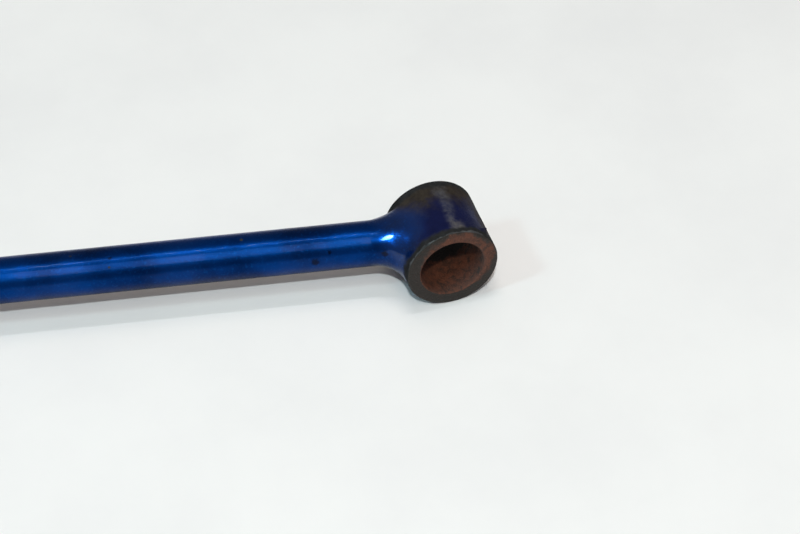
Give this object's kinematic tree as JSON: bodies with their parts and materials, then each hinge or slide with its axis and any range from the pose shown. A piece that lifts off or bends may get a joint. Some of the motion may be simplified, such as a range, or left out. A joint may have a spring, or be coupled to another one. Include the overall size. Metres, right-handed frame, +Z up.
{
  "type": "sway bar",
  "caption": "U-shaped anti-roll bar of round steel, painted metallic blue, with welded bushing eyes on its arms and rubber bushings in saddle brackets that turn on it.",
  "frame": {"origin": "middle of the footprint, on the surface that the eyes and the brackets' crowns rest on", "axes": "+X along the torsion section, +Y from the arms' ends to the torsion section, +Z up, the way the brackets' flanges face a frame rail"},
  "size_m": [0.893, 0.3202, 0.0573],
  "materials": {
    "bar_paint": "metallic candy blue gloss paint with a clear coat",
    "eye_paint": "the same paint, thin and dark, worn and scuffed; bare rusty steel in the bore and on the end faces",
    "rubber": "moulded black rubber, matt",
    "bracket_coat": "black coating, satin",
    "collar_steel": "zinc plated, turned",
    "zinc": "bright zinc plating",
    "black_oxide": "black oxide, satin"
  },
  "bodies": {
    "bar_body": {"bar": "bar_paint", "left_eye": "eye_paint", "left_eye_weld": "bar_paint", "left_collar": "collar_steel", "left_collar_screw": "black_oxide", "right_eye": "eye_paint", "right_eye_weld": "bar_paint", "right_collar": "collar_steel", "right_collar_screw": "black_oxide"},
    "left_mount": {"left_bushing": "rubber", "left_bracket": "bracket_coat", "left_front_bolt": "zinc", "left_front_washer": "zinc", "left_front_lock_washer": "zinc", "left_front_nut": "zinc", "left_rear_bolt": "zinc", "left_rear_washer": "zinc", "left_rear_lock_washer": "zinc", "left_rear_nut": "zinc"},
    "right_mount": {"right_bushing": "rubber", "right_bracket": "bracket_coat", "right_front_bolt": "zinc", "right_front_washer": "zinc", "right_front_lock_washer": "zinc", "right_front_nut": "zinc", "right_rear_bolt": "zinc", "right_rear_washer": "zinc", "right_rear_lock_washer": "zinc", "right_rear_nut": "zinc"}
  },
  "joints": [
    {"name": "left_mount_turn", "type": "hinge", "parent": "bar_body", "child": "left_mount", "pos_m": [-0.285, 0.11413, 0.02095], "axis": [1, 0, 0], "range_deg": [-25, 25]},
    {"name": "right_mount_turn", "type": "hinge", "parent": "bar_body", "child": "right_mount", "pos_m": [0.285, 0.11413, 0.02095], "axis": [1, 0, 0], "range_deg": [-25, 25]}
  ]
}
